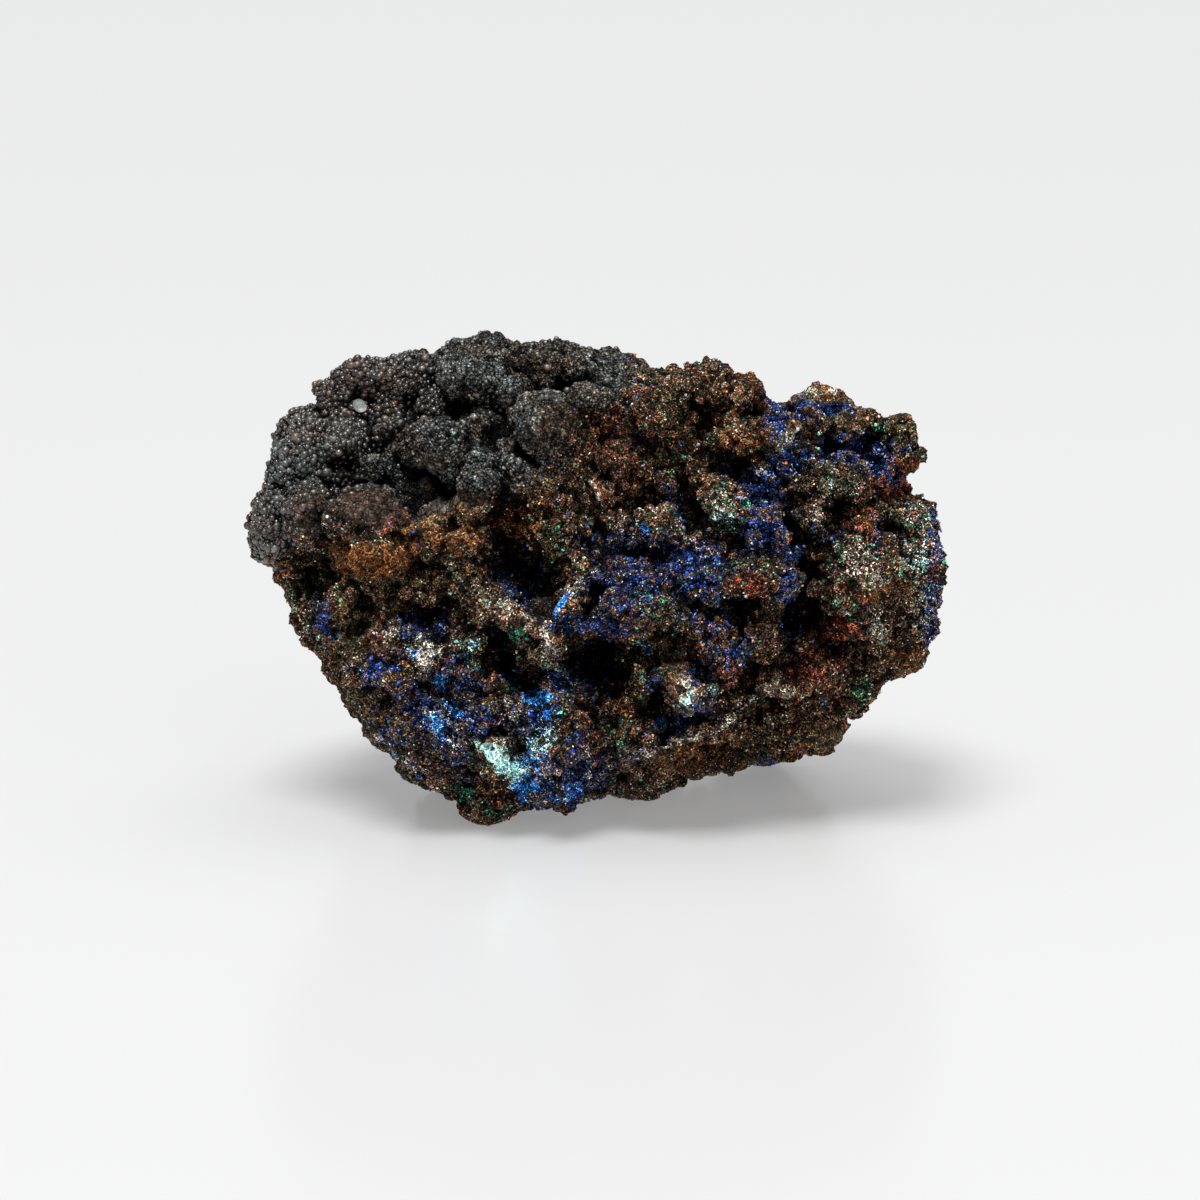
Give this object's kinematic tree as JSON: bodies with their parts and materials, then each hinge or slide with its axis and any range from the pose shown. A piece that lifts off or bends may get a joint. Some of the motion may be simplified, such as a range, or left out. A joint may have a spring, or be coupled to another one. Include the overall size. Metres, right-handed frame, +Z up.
{
  "type": "azurite specimen",
  "caption": "Free-standing lump of iron-oxide matrix crusted with azurite, malachite and chrysocolla, under a dark botryoidal goethite cap.",
  "frame": {"origin": "under the middle of the bounding box, on the surface that the specimen rests on", "axes": "+X along the longest extent, to the right when the crystallised face is looked at; -Y towards the viewer of that face; +Z up"},
  "size_m": [0.0686, 0.0486, 0.0463],
  "materials": {
    "iron_matrix": "dull, rough and granular, brown to black",
    "goethite_crust": "satin grey-black botryoidal beads",
    "azurite": "deep blue sparkling crystal crusts",
    "malachite": "bright green fine crystals",
    "chrysocolla": "pale mint, waxy to chalky",
    "limonite": "earthy orange to red-brown grains"
  },
  "bodies": {
    "root": {"azurite_specimen": "iron_matrix"}
  },
  "joints": []
}
